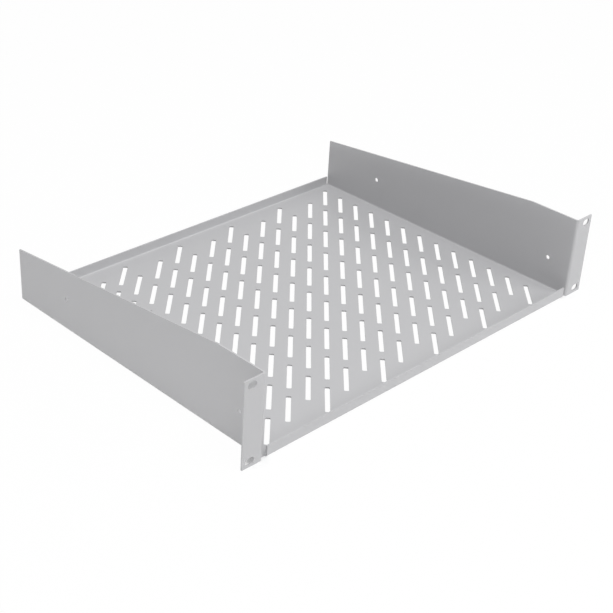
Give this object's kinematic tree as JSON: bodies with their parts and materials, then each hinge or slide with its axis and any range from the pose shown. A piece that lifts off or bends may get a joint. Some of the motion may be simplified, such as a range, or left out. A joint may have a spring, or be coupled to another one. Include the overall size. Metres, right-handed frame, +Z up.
{
  "type": "cantilever rack shelf",
  "caption": "Vented cantilever shelf for a 19 inch rack, two units high, folded from one steel sheet, with slotted ears and tapering walls.",
  "frame": {"origin": "centre of the rack hole pattern, in the plane of the front faces of the rack ears", "axes": "+X to the right seen from the front, +Y from the front to the rear, +Z up"},
  "size_m": [0.4826, 0.35, 0.0882],
  "materials": {
    "powder_coat": "satin light grey powder coat"
  },
  "bodies": {
    "root": {"shelf_tray": "powder_coat"}
  },
  "joints": []
}
